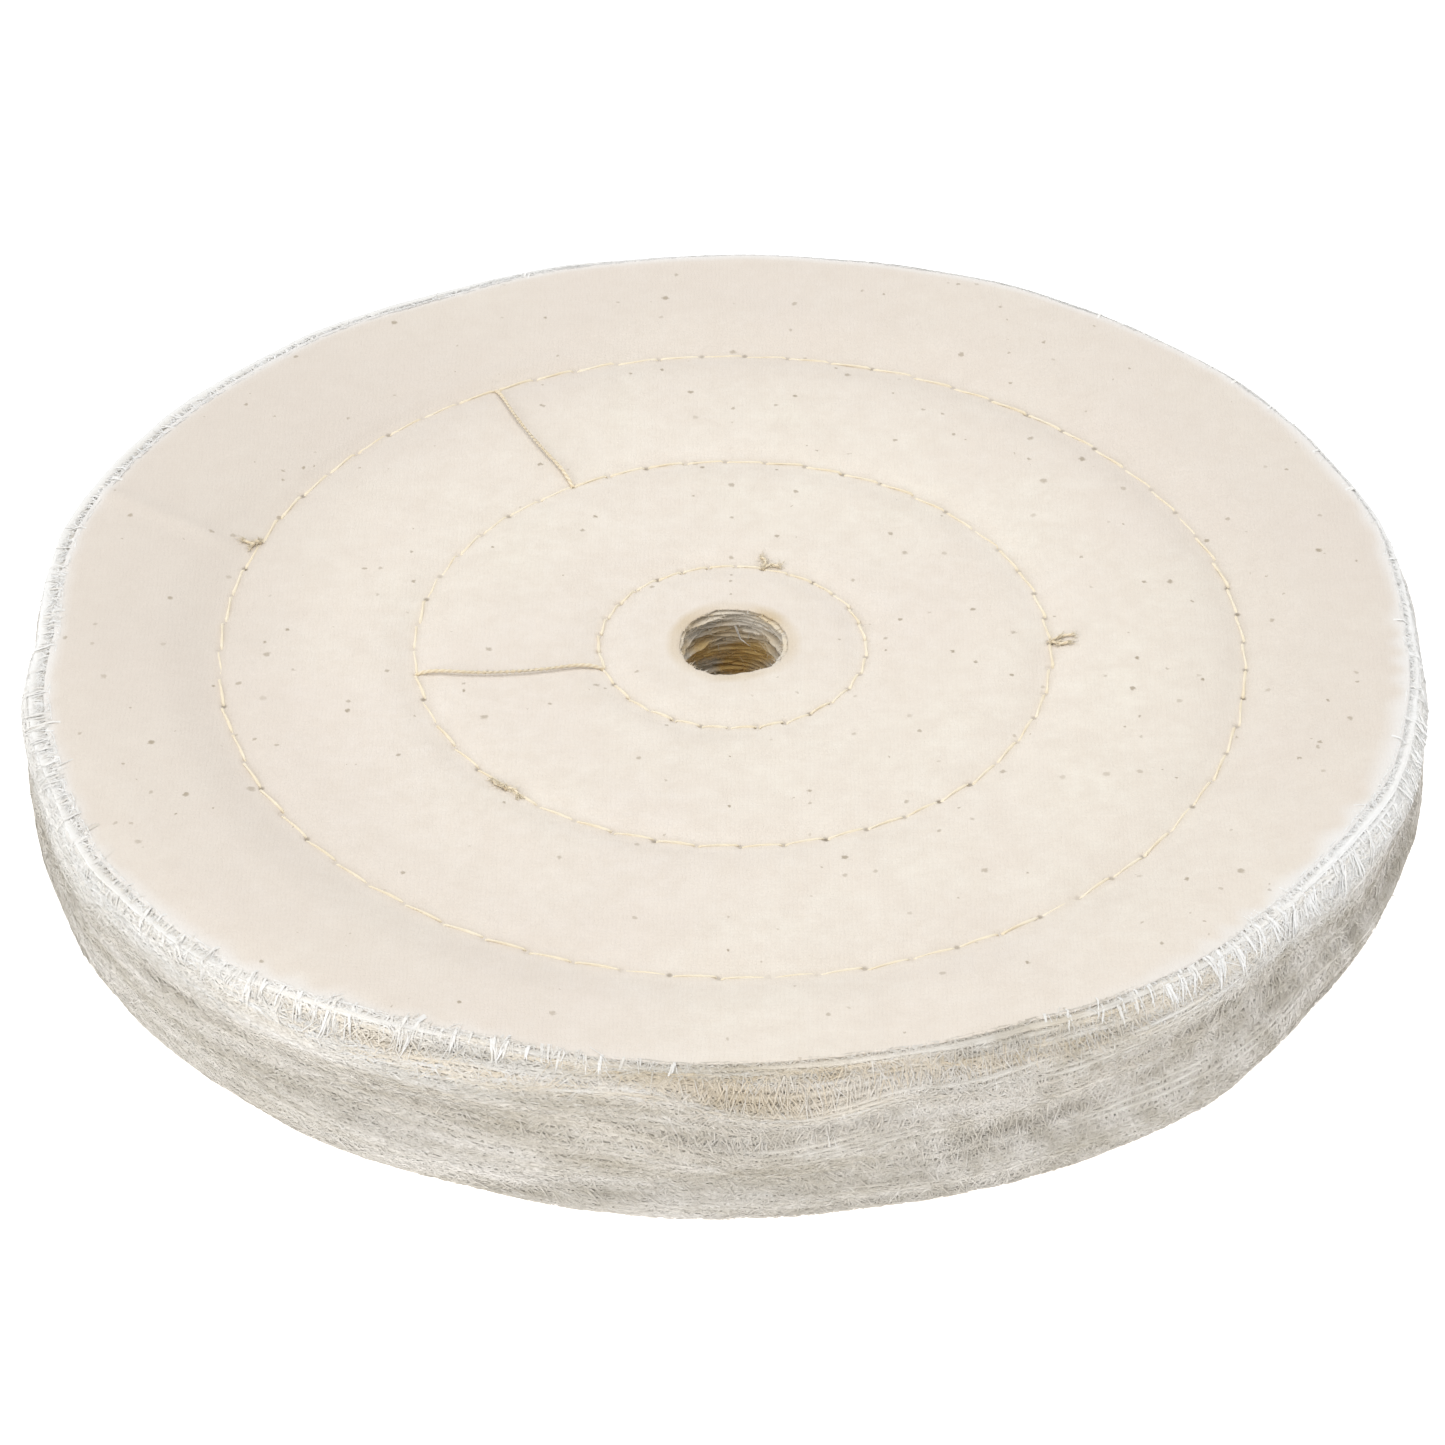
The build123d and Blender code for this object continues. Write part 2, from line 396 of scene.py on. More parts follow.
def face_calico(weave, flecks, needle_hole_shade):
    """Unbleached calico seen flat: cream, with a plain weave, slubs, seed flecks and soft blotches, and
    painted shade in the weave's low spots, in the needle holes and along the seams.
    """
    material, tree, shader, place = new_material("unbleached face calico", 0.92)
    woven = use_group(tree, weave, Vector=place, Yarn_Pitch=0.46 * MM)
    blotch = ramp(tree, stretched_noise(tree, place, (32.0, 32.0, 32.0), 2.0), 0.35, 0.65)
    cream = mix_colour(tree, blotch, (0.745, 0.683, 0.615, 1), (0.775, 0.725, 0.640, 1))
    mottle = ramp(tree, stretched_noise(tree, place, (330.0, 330.0, 330.0), 5.0, 0.75), 0.36, 0.64)
    cream = mix_colour(tree, mottle, mix_colour(tree, 0.55, cream, (0.66, 0.585, 0.50, 1)), cream)
    cloud = ramp(tree, stretched_noise(tree, place, (90.0, 90.0, 90.0), 3.0, 0.6), 0.35, 0.65, 0.0, 0.3)
    cream = mix_colour(tree, cloud, cream, (0.735, 0.655, 0.585, 1))
    slub = ramp(tree, woven.outputs["Slub"], 0.38, 0.62)
    cream = mix_colour(tree, slub, mix_colour(tree, 0.22, cream, (0.74, 0.66, 0.56, 1)), cream)
    specks = [
        use_group(tree, flecks, Vector=place, Cells=cells, Size=size, Share=share).outputs[0]
        for cells, size, share in SEED_FLECKS
    ]
    hole_shades = []
    for seam_radius, stitches, first in SEAMS.values():
        seam = {"Seam_Radius": seam_radius, "Stitches": float(stitches), "First_Hole": math.radians(first)}
        hole_shades.append(use_group(tree, needle_hole_shade, Vector=place, **seam).outputs[0])
    coats = (
        # painted shade in the low spots of the weave
        (ramp(tree, woven.outputs["Height"], 0.0, 0.6, 0.08, 0.0), (0.62, 0.54, 0.45, 1)),
        (maths(tree, "MULTIPLY", value_of(tree, "outer_tone"), 0.55), (0.62, 0.555, 0.49, 1)),
        (greatest(tree, specks), (0.38, 0.32, 0.24, 1)),
        # painted shade in the needle holes
        (greatest(tree, hole_shades), (0.20, 0.16, 0.11, 1)),
        (value_of(tree, "seam_shade"), (0.60, 0.50, 0.38, 1)),
        (value_of(tree, "white_fray_and_highlight"), (0.77, 0.75, 0.725, 1)),
        (value_of(tree, "browning_and_shade"), (0.50, 0.36, 0.16, 1)),
    )
    wire(tree, paint_over(tree, cream, coats), shader.inputs["Base Color"])
    grain = stretched_noise(tree, place, (4000.0, 4000.0, 4000.0), 2.0)
    height = maths(tree, "ADD", woven.outputs["Height"], maths(tree, "MULTIPLY", grain, 0.6))
    bumped(tree, shader, height, 0.03 * MM)
    return material


def edge_calico(name, light, dark):
    """Calico at its cut edge: streaky along the plies or mottled like felt, and brown in the bore. Its dark
    tone, below the face calico's, and its streaks are partly painted shade on the rim's wall.
    """
    material, tree, shader, place = new_material(name, 0.95)
    streak = stretched_noise(tree, place, (55.0, 55.0, 620.0), 4.0, 0.6)
    mottle = stretched_noise(tree, place, (260.0, 260.0, 300.0), 4.0, 0.6)
    patch = stretched_noise(tree, place, (40.0, 40.0, 150.0), 2.0)
    grain = mix_value(tree, value_of(tree, "felted"), streak, mottle)
    share = maths(tree, "ADD", maths(tree, "MULTIPLY", grain, 0.7), maths(tree, "MULTIPLY", patch, 0.3))
    coats = (
        (ramp(tree, share, 0.40, 0.60), light),
        (maths(tree, "MULTIPLY", value_of(tree, "yarn_shade"), 0.16), dark),
        (value_of(tree, "white_fray_and_highlight"), (0.86, 0.86, 0.85, 1)),
        (value_of(tree, "browning_and_shade"), (0.72, 0.51, 0.20, 1)),
    )
    wire(tree, paint_over(tree, dark, coats), shader.inputs["Base Color"])
    lint = stretched_noise(tree, place, (1600.0, 1600.0, 2200.0), 4.0, 0.65)
    bumped(tree, shader, lint, 0.18 * MM)
    return material


def thread_cotton():
    """Twisted sewing thread, tan cream, with painted shade in the grooves between its strands and darker
    tones on its loose fibres.
    """
    material, tree, shader, place = new_material("cotton sewing thread", 0.8)
    tone = stretched_noise(tree, place, (300.0, 300.0, 300.0), 2.0)
    colour = mix_colour(tree, ramp(tree, tone, 0.35, 0.65), (0.79, 0.69, 0.51, 1), (0.84, 0.765, 0.61, 1))
    colour = mix_colour(tree, value_of(tree, "groove_shade_and_tone"), colour, (0.70, 0.575, 0.39, 1))
    wire(tree, colour, shader.inputs["Base Color"])
    bumped(tree, shader, stretched_noise(tree, place, (3000.0, 3000.0, 3000.0), 2.0), 0.05 * MM)
    return material


# Seed flecks of four sizes: cells per metre, size in cells, and the share of cells that hold one
SEED_FLECKS = ((600.0, 0.14, 0.03), (420.0, 0.13, 0.03), (230.0, 0.085, 0.06), (120.0, 0.05, 0.07))
# darkest tone of the cut edges, partly painted shade on the rim's wall
EDGE_DARK = (0.50, 0.46, 0.39, 1)
FACE_CALICO = face_calico(plain_weave_group(), seed_fleck_group(), needle_hole_shade_group())
EDGE_CALICO = edge_calico("calico ply edge", (0.69, 0.66, 0.61, 1), EDGE_DARK)
FRINGE_COTTON = edge_calico("frayed cotton yarn", (0.70, 0.665, 0.615, 1), EDGE_DARK)
THREAD_COTTON = thread_cotton()


# ------------------------------------------------------------ the plies of cloth

RIM_STEPS = 720  # steps of angle in the relief shared by all the plies
RIM_ANGLES = np.linspace(-math.pi, math.pi, RIM_STEPS, endpoint=False)
TIGHTEST = 0.55  # least thickness of a ply in the loose rim, in even ply spacings
FLUFFIEST = 2.6  # most thickness that a frayed edge fills, in even ply spacings

PLY_LEVEL = (2 * (np.arange(PLIES) + 0.5) / PLIES - 1)[:, None]  # -1 below to 1 above
TRIM = np.where(PLY_LEVEL > 0, at_angles(UPPER_TRIM, RIM_ANGLES), at_angles(LOWER_TRIM, RIM_ANGLES))
RELIEF = (
    0.34 * round_noise(11, PLIES, RIM_STEPS, 2.4, 7.0)
    + 0.08 * round_noise(12, PLIES, RIM_STEPS, 1.0, 2.5)
    + 0.03 * round_noise(13, PLIES, RIM_STEPS, 0.0, 0.8)
)
SLANTED = at_angles(SLANT, RIM_ANGLES) * (PLY_LEVEL + 1) / 2
ROUNDED = TRIM * np.abs(PLY_LEVEL) ** SHOULDER_POWER
EDGE_RADIUS = WHEEL_RADIUS + (RELIEF + at_angles(RIM_OUTLINE, RIM_ANGLES) - SLANTED - ROUNDED) * MM
GROOVED = soft_step(PLY_LEVEL, 0.55, 0.68) * (1 - soft_step(PLY_LEVEL, 0.84, 0.90))
EDGE_RADIUS -= 0.35 * MM * GROOVED * at_angles(GROOVED_FRONT, RIM_ANGLES)
EDGE_RADIUS[-1] = np.minimum(EDGE_RADIUS[-1], EDGE_RADIUS[-2]) - at_angles(FACE_SETBACK, RIM_ANGLES) * MM
UNDULATION = 0.22 * MM * round_noise(31, 1, RIM_STEPS, 0, 14.0)[0]
BORE_RELIEF = 0.42 * np.abs(round_noise(41, PLIES, RIM_STEPS, 0.5, 20.0))
BORE_RELIEF += 0.10 * np.abs(round_noise(42, PLIES, RIM_STEPS, 0.0, 5.0))
BORE_EDGE = BORE_RADIUS - (0.25 + BORE_RELIEF) * MM
# Blotches of brown round the bore, browner deeper down
BORE_BLOTCHES = round_noise(43, PLIES, RIM_STEPS, 1.5, 14.0)


def rim_cells():
    """Room for each ply in the loose rim, in even ply spacings: bunched in places, parted in others."""
    free = np.abs(round_noise(21, PLIES, RIM_STEPS, 0.8, 6.0)) ** 1.3 + 0.15
    free[0] = free[-1] = 0.3
    return TIGHTEST + free * (1 - TIGHTEST) * PLIES / free.sum(axis=0)


RIM_CELL = rim_cells()
LOOSE_LEVEL = np.cumsum(RIM_CELL, axis=0) - RIM_CELL / 2


def level_height(radius, angle_index, level, loose):
    """Height at a level, counted in plies from the underside of the stack."""
    share = 2 * level / PLIES - 1
    drop = at_angles(SHOULDER_DROP, RIM_ANGLES)[angle_index] * MM * soft_step(radius, *SHOULDER) ** 1.5
    wave = loose * UNDULATION[angle_index] * level / PLIES
    return half_height(radius) * share - drop * share * np.abs(share) + wave


def ply_height(ply, radius, angle_index, share_up):
    """Height in a ply, share_up running from -1 on its underside to 1 on its upper side."""
    loose = soft_step(radius, *LOOSE_RIM)
    edge, cell = EDGE_RADIUS[ply][angle_index], RIM_CELL[ply][angle_index]
    frayed = soft_step(radius, edge - 3.0 * MM, edge - 0.5 * MM)
    woven = np.minimum(0.78, 0.95 * (1 - loose + cell * loose))
    lift = 0.5 * share_up * (woven + (np.minimum(cell, FLUFFIEST) - woven) * frayed)
    level = (ply + 0.5) * (1 - loose) + LOOSE_LEVEL[ply][angle_index] * loose + lift
    return level_height(radius, angle_index, level, loose)


STITCHED_RADIUS = 57.0 * MM  # outside this, a ply's rings follow its own cut edge


def ply_rings(detail):
    """Ring places of a ply's two sides, in mm: distances from the bore's edge, then a full wheel's radii."""
    valley = {0: (), 1: (-2.6, -0.9, 0.9, 2.6)}
    valley[2] = (-2.4, -1.7, -1.2, -0.8, -0.5, -0.25, 0, 0.25, 0.5, 0.8, 1.2, 1.7, 2.4)
    lands = {0: (12.0, 44.0), 1: (12.0, 24.0, 44.0)}
    lands[2] = (9.6, 11.2, 19.0, 22.0, 25.5, 29.0, 39.0, 42.5, 46.0, 49.5)
    rim = {0: (57.0, 66.0, 71.0, 74.0, 75.0), 1: (57.6, 62.0, 66.0, 69.0, 71.5, 73.5, 74.6, 75.0)}
    rim[2] = (58.4, 59.6, 61.0, 62.5, 64.0, 65.5, 67.0, 68.4, 69.7, 70.9, 72.0, 73.0, 73.8, 74.4, 74.8, 75.0)
    bore = {0: (0.0, 0.7), 1: (0.0, 0.7, 1.6), 2: (0.0, 0.3, 0.8, 1.6)}

    def radii(level):
        centres = [seam_radius / MM for seam_radius, _, _ in SEAMS.values()]
        return sorted(list(lands[level]) + [centre + step for centre in centres for step in valley[level]])

    under = min(detail, 1)
    upper = (bore[detail], radii(detail) + list(rim[detail]))
    lower = (bore[under][1:], radii(under) + list(rim[under][:-2]))
    return upper, lower


def ply_mesh(ply, steps, detail):
    """Radii, angles and heights of one disc of cloth with a frayed bore and a wavy cut edge."""
    every = RIM_STEPS // steps
    index = np.arange(0, RIM_STEPS, every)
    edge, bore = EDGE_RADIUS[ply][index], BORE_EDGE[ply][index]

    def ring(radius):
        share = max(0.0, (radius * MM - STITCHED_RADIUS) / (WHEEL_RADIUS - STITCHED_RADIUS))
        return (radius * MM if share == 0 else STITCHED_RADIUS) + share * (edge - STITCHED_RADIUS)

    (bore_upper, radii_upper), (bore_lower, radii_lower) = ply_rings(detail)
    upper = [bore + distance * MM for distance in bore_upper] + [ring(radius) for radius in radii_upper]
    lower = [bore + distance * MM for distance in bore_lower] + [ring(radius) for radius in radii_lower]
    upper[-1] = edge - 0.05 * MM
    lower = [bore + 0.02 * MM] + lower + [edge - 0.05 * MM]
    radii = np.array(upper + [edge + 0.02 * MM] + lower[::-1] + [bore - 0.08 * MM])
    roundness = np.full(radii.shape[0], 1.0)
    roundness[[0, -2]] = 0.6
    roundness[[len(upper) - 1, len(upper) + 1]] = 0.9
    side = np.concatenate([np.ones(len(upper)), [0.0], -np.ones(len(lower)), [0.0]])
    heights = ply_height(ply, radii, index[None, :], (roundness * side)[:, None])
    angles = RIM_ANGLES[index][None, :] + 0 * radii
    return radii, angles, heights, len(upper)


def torus_faces(rings, steps):
    """Quads that join each ring of points to the next, and the last to the first."""
    ring = np.arange(rings)[:, None] * steps
    step = np.arange(steps)[None, :]
    after = (np.arange(rings)[:, None] + 1) % rings * steps
    beside = (step + 1) % steps
    return np.stack([ring + step, after + step, after + beside, ring + beside], axis=-1).reshape(-1, 4)


def needle_marks(radii, angles):
    """How near each point is to a needle hole, and to a seam, from 0 to 1."""
    hole, seam = np.zeros_like(radii), np.zeros_like(radii)
    for seam_radius, stitches, first in SEAMS.values():
        pitch = 2 * math.pi / stitches
        turn = (angles - math.radians(first) + pitch / 2) % pitch - pitch / 2
        apart = np.hypot(radii - seam_radius, turn * seam_radius)
        number = np.round((angles - math.radians(first)) / pitch).astype(int) % stitches
        strength = np.random.default_rng(stitches).uniform(0.15, 1.0, stitches)[number]
        hole = np.maximum(hole, strength * (1 - soft_step(apart, 0.2 * MM, 0.6 * MM)))
        seam = np.maximum(seam, 1 - soft_step(np.abs(radii - seam_radius), 0.2 * MM, 0.9 * MM))
    return hole, seam


# How white the frayed rim is on its upper shoulder and on its wall, partly as painted highlight where the
# frayed ends catch the light
SHOULDER_WHITE = (
    (-180, 0.9), (-150, 0.7), (-125, 0.75), (-108, 0.3), (-90, 0.1), (-65, 0.1), (-50, 0.6), (-38, 1.0),
    (0, 1.0), (60, 0.9), (120, 1.0), (180, 0.9),
)
WALL_WHITE = (
    (-180, 0.12), (-160, 0.1), (-135, 0.03), (-100, 0.0), (-20, 0.0), (5, 0.06), (40, 0.12), (180, 0.12),
)
# How ragged the upper face ply's edge is, and how white (partly painted highlight) and how long its tufts are
RAGGED = (
    (-180, 0.2), (-150, 0.4), (-130, 0.8), (-112, 0.7), (-100, 0.15), (-88, 0.0), (-66, 0.0), (-56, 0.3),
    (-46, 1.0), (-5, 1.0), (10, 0.6), (40, 0.2), (60, 0.02), (100, 0.0), (125, 0.05), (160, 0.15),
    (180, 0.25),
)
TUFT_WHITE = ((-180, 0.6), (-130, 0.5), (-60, 0.6), (-42, 1.0), (5, 1.0), (30, 0.8), (180, 0.65))
TUFT_REACH = (
    (-180, 0.6), (-130, 0.7), (-100, 0.4), (-60, 0.5), (-42, 1.35), (-10, 1.6), (20, 0.9), (90, 0.4),
    (180, 0.6),
)
WISPS = 240  # wisps that the tufts gather into, round the whole wheel
# Where the wall is matted into felt, where its front is streaked with tan painted shade, or where the faces
# are toned down
FELTED = ((-180, 0.15), (-110, 0.1), (-85, 0.35), (-65, 0.9), (-10, 1.0), (20, 0.5), (180, 0.15))
FRONT_SHADE_STREAKS = ((-180, 0.1), (-140, 0.3), (-118, 1.0), (-60, 1.0), (-35, 0.5), (0, 0.1), (180, 0.1))
TONED_BAND = (
    (-180, 1.3), (-120, 0.6), (-90, 0.1), (-45, 0.3), (0, 0.9), (60, 0.7), (100, 0.7), (140, 1.2), (180, 1.3),
)


def white_fray(ply, angles):
    """How white the rim is, partly white fluffy fray and partly painted highlight: most on the upper shoulder
    at the sides, least at the front.
    """
    shoulder, wall = at_angles(SHOULDER_WHITE, angles), at_angles(WALL_WHITE, angles)
    return wall + (shoulder - wall) * soft_step(PLY_LEVEL[ply, 0], 0.25, 0.72)


def frayed_patches(angles):
    """Where the ragged edge bunches into soft locks, from -1 to 1."""
    return np.sin(angles * 61 + 4 * np.sin(angles * 9) + 3 * np.sin(angles * 17 + 1))


def felting(angles):
    """How much the wall is matted into felt, rather than streaked along the plies."""
    return at_angles(FELTED, angles)


def bore_browning(ply, step):
    """How brown a ply's edge is in the bore: in blotches, and more towards the bottom."""
    depth = soft_step(float(PLIES - 1 - ply), 2.0, 20.0)
    return np.clip(0.22 + 0.50 * depth + 0.45 * BORE_BLOTCHES[ply][step] * (0.3 + depth), 0.2, 1.0)


def front_rim_shade_streaks(ply, angles):
    """Painted shade: tan streaks between the upper plies at the front of the rim, most under the face ply's
    edge.
    """
    level = PLY_LEVEL[ply, 0]
    depth = soft_step(level, 0.45, 0.7) * (1 - soft_step(level, 0.90, 0.94))
    depth += 0.25 * soft_step(level, -0.6, 0.2)
    streaks = 0.5 + 0.5 * np.sin(angles * 23 + ply * 1.9 + 2 * np.sin(angles * 7 + ply))
    return 0.24 * depth * at_angles(FRONT_SHADE_STREAKS, angles) * streaks


def outer_tone(radii, angles):
    """How much the faces' outer bands are toned down, most at the left."""
    return at_angles(TONED_BAND, angles) * soft_step(radii, 40.0 * MM, 60.0 * MM)


def upper_face_folds(radii, angles):
    """Height of the soft fold beside the outer seam and of the crease from there to the rim."""
    turn = np.degrees(angles)
    window = soft_step(turn, 98.0, 116.0) * (1 - soft_step(turn, 146.0, 158.0))
    fold = 0.40 * MM * window * np.exp(-(((radii - 57.0 * MM) / (0.9 * MM)) ** 2))
    along = (radii - 56.0 * MM) / (15.0 * MM)
    crease_angle = 163.5 - 3.0 * along
    apart = (turn - crease_angle) * math.pi / 180 * radii
    crease = 0.30 * MM * soft_step(along, 0.0, 0.3) * np.exp(-((apart / (1.3 * MM)) ** 2))
    return fold + crease


def make_ply(ply, name):
    """One disc of cloth, with its browning and painted shade streaks, its white frayed edge with painted
    highlight and, on a face, its folds and seam marks.
    """
    face = name.startswith("face")
    steps = RIM_STEPS if name == "face_ply_top" else RIM_STEPS // 2
    every = RIM_STEPS // steps
    under_a_face = min(ply, PLIES - 1 - ply) <= 4
    radii, angles, heights, upper = ply_mesh(ply, steps, 2 if face else int(under_a_face))
    edge = EDGE_RADIUS[ply][::every]
    near_bore = 1 - soft_step(radii, BORE_RADIUS + 0.1 * MM, BORE_RADIUS + 0.9 * MM)
    frayed = 1.4 + 1.6 * at_angles(RAGGED, angles) * np.clip(0.5 + 0.5 * frayed_patches(angles), 0, 1)
    values = {
        "browning_and_shade": bore_browning(ply, np.arange(0, RIM_STEPS, every)) * near_bore,
        "white_fray_and_highlight": white_fray(ply, angles) * soft_step(radii, edge - frayed * MM, edge),
    }
    values["browning_and_shade"] += front_rim_shade_streaks(ply, angles) * soft_step(radii, edge - 1.5 * MM, edge)
    if face:
        hole, seam = needle_marks(radii, angles)
        side = 1 if name == "face_ply_top" else -1
        heights = heights - side * (0.35 * MM * hole)
        if side > 0:
            heights += upper_face_folds(radii, angles)
        values["seam_shade"] = 0.16 * seam
        values["outer_tone"] = outer_tone(radii, angles)
        ripple = 0.04 * MM * round_noise(51 + ply, 1, steps, 0, 2.0)
        heights[:upper] += side * ripple * soft_step(radii[:upper], 20 * MM, 60 * MM)
    else:
        values["white_fray_and_highlight"] += 0.35 * near_bore
        values["felted"] = felting(angles)
        values["yarn_shade"] = np.random.default_rng(600 + ply).random() * (1 - 0.8 * values["felted"])
    points = round_points(radii, angles, heights).reshape(-1, 3)
    cloth = FACE_CALICO if face else EDGE_CALICO
    piece = new_piece(f"calico_{name}", points, torus_faces(radii.shape[0], steps), cloth, values)
    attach(piece, "root")
    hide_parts(name)
    return piece


# ------------------------------------------------------- frayed yarns and fuzz

def tube_faces(first):
    """The six triangles between one ring of three points and the next, counted from the first point."""
    faces = []
    for corner in range(first, first + 3):
        after = first + (corner + 1 - first) % 3
        faces += [(after, corner, after + 3), (after + 3, corner, corner + 3)]
    return faces


def bundle(rows, faces, shades, extra):
    """Many alike fibres as one mesh, from a row of points for each corner and the faces of one fibre."""
    points = np.stack(rows, axis=1)
    count, size = points.shape[:2]
    faces = (np.arange(count) * size)[:, None, None] + np.array(faces)[None, :, :]
    values = {label: np.repeat(value, size) for label, value in {"yarn_shade": shades, **extra}.items()}
    return points.reshape(-1, 3), faces.reshape(-1, 3), values


def fibres(roots, aims, lengths, widths, curls, shades, extra):
    """Tapered, bent fibres with three sides, as one mesh: a base ring, a bent middle ring and a tip."""
    aims = unit(aims)
    upright = np.where(np.abs(aims[:, 2:3]) < 0.9, [[0.0, 0.0, 1.0]], [[1.0, 0.0, 0.0]])
    across = unit(np.cross(aims, upright))
    over = np.cross(across, aims)
    middle = roots + aims * (0.5 * lengths)[:, None] + curls * (0.25 * lengths)[:, None]
    tip = roots + aims * lengths[:, None] * 0.9 + curls * (0.9 * lengths)[:, None]
    rings = []
    for centre, share in ((roots, 0.5), (middle, 0.42)):
        for corner in range(3):
            turn = 2 * math.pi * corner / 3
            out = across * math.cos(turn) + over * math.sin(turn)
            rings.append(centre + out * (widths * share)[:, None])
    faces = [(0, 1, 2)] + tube_faces(0) + [(3 + (corner + 1) % 3, 3 + corner, 6) for corner in range(3)]
    return bundle([*rings, tip], faces, shades, extra)


def draped(places, normals, widths, shades, extra):
    """Tapered fibres that lie flat along rows of points, as one mesh: three sides, the broad one outward."""
    knots = places.shape[1]
    ahead = np.diff(places, axis=1)
    across = unit(np.cross(normals, np.concatenate([ahead, ahead[:, -1:]], axis=1)))
    rings = []
    for knot in range(knots - 1):
        half = (widths * (0.5 - 0.1 * knot))[:, None]
        centre, side = places[:, knot], across[:, knot] * half
        rings += [centre + side, centre - side, centre - normals[:, knot] * half]
    faces = [(0, 2, 1)]
    for first in range(0, 3 * (knots - 2), 3):
        faces += [face[::-1] for face in tube_faces(first)]
    last = 3 * (knots - 2)
    faces += [(last + corner, last + (corner + 1) % 3, last + 3) for corner in range(3)]
    return bundle([*rings, places[:, -1]], faces, shades, extra)


def round_places(draw, count):
    """Random angles round the wheel, and what local_ways gives for them."""
    angle = draw.uniform(-math.pi, math.pi, count)
    return angle, *local_ways(angle)


def local_ways(angle):
    """The angles' steps in the relief, and the outward, sideways and upward ways there."""
    step = ((angle + math.pi) / (2 * math.pi) * RIM_STEPS).astype(int) % RIM_STEPS
    outward = np.stack([np.cos(angle), np.sin(angle), 0 * angle], axis=1)
    sideways = np.stack([-np.sin(angle), np.cos(angle), 0 * angle], axis=1)
    return step, outward, sideways, np.array([[0.0, 0.0, 1.0]])


def roots_at(ply, radius, angle, step, share_up):
    return round_points(radius, angle, ply_height(ply, radius, step, share_up))


def wall_place(level, angle, lift):
    """Points on the rim's wall at levels counted in plies, lifted off it, and the wall's normals there."""
    step, outward, _, upward = local_ways(angle)
    below = np.clip(np.floor(level).astype(int), 0, PLIES - 2)
    share = np.clip(level - below, -0.4, 1.4)

    def between(table):
        return table[below, step] * (1 - share) + table[below + 1, step] * share

    radius = between(EDGE_RADIUS)
    height = level_height(radius, step, between(LOOSE_LEVEL), 1.0)
    lower, upper = np.maximum(below - 1, 0), np.minimum(below + 2, PLIES - 1)
    rise = (LOOSE_LEVEL[upper, step] - LOOSE_LEVEL[lower, step]) * 2 * RIM_HALF / PLIES
    normal = unit(outward + upward * ((EDGE_RADIUS[lower, step] - EDGE_RADIUS[upper, step]) / rise)[:, None])
    return outward * radius[:, None] + upward * height[:, None] + normal * lift[:, None], normal


def wall_values(ply, angle, white):
    """The values that colour fibres on the rim's wall."""
    return {
        "white_fray_and_highlight": np.clip(white, 0, 1),
        "browning_and_shade": front_rim_shade_streaks(ply, angle),
        "felted": felting(angle),
    }


def felt_mat(ply, count):
    """Short fibres that mat the cut edges together: along the plies, or in all directions where felted."""
    draw = np.random.default_rng(1000 + ply)
    angle = draw.uniform(-math.pi, math.pi, count)
    felted = felting(angle)
    level = ply + draw.uniform(-0.5, 0.5, count)
    length = np.clip(draw.gamma(5.0, 0.24, count), 0.5, 2.4) * MM
    turn = draw.normal(0, 1, count) * (0.25 + 1.4 * felted) + math.pi * draw.integers(0, 2, count)
    to_level = level + length * np.sin(turn) / (2 * RIM_HALF / PLIES)
    to_angle = angle + length * np.cos(turn) / WHEEL_RADIUS
    root, normal = wall_place(level, angle, draw.uniform(0.0, 0.08, count) * MM)
    to_level = np.clip(to_level, -0.4, PLIES - 0.6)
    tip, tip_normal = wall_place(to_level, to_angle, draw.uniform(0.04, 0.17, count) * MM)
    width = draw.uniform(0.09, 0.20, count) * MM
    extra = wall_values(ply, angle, white_fray(ply, angle) + draw.normal(0.0, 0.10, count))
    places, normals = np.stack([root, tip], axis=1), np.stack([normal, tip_normal], axis=1)
    return draped(places, normals, width, draw.random(count), extra)


def loose_fibres(ply, count):
    """Longer bent fibres and yarn ends that stand off the rim."""
    draw = np.random.default_rng(2000 + ply)
    angle, step, outward, sideways, upward = round_places(draw, count)
    white, felted = white_fray(ply, angle), felting(angle)
    yarn = draw.random(count) < 0.12
    radius = EDGE_RADIUS[ply][step] - draw.uniform(0.0, 0.5, count) * MM
    roots = roots_at(ply, radius, angle, step, draw.uniform(-0.8, 0.8, count))
    aims = outward * 0.6 + sideways * draw.normal(0, 0.9, count)[:, None]
    aims += upward * (draw.normal(-0.1, 0.4, count) * (1 + felted))[:, None]
    curl = sideways * draw.normal(0, 0.4, count)[:, None] - outward * 0.25
    curl += upward * draw.normal(-0.15, 0.35, count)[:, None]
    length = np.clip(draw.gamma(4.0, 0.20, count) * (0.8 + 0.5 * white), 0.35, 2.0) * MM
    width = np.where(yarn, draw.uniform(0.10, 0.18, count), draw.uniform(0.04, 0.09, count)) * MM
    extra = wall_values(ply, angle, white + draw.normal(0.05, 0.15, count))
    return fibres(roots, aims, length, width, curl, draw.random(count), extra)


def shoulder_place(angle, reach, lift):
    """Points that a reach past the face ply's edge carries over the shoulder, or inwards onto the face."""
    step, outward, _, upward = local_ways(angle)
    radius = EDGE_RADIUS[-1][step] + np.minimum(reach, 0)
    height = ply_height(PLIES - 1, radius, step, 1.0)
    on_face = outward * radius[:, None] + upward * (height + lift)[:, None]
    level = PLIES - 0.9 - np.maximum(reach, 0) * 2.3 / MM
    on_wall, normal = wall_place(level, angle, lift)
    over = soft_step(reach, -0.1 * MM, 0.4 * MM)[:, None]
    return on_face * (1 - over) + on_wall * over, unit(upward * (1 - over) + normal * over)


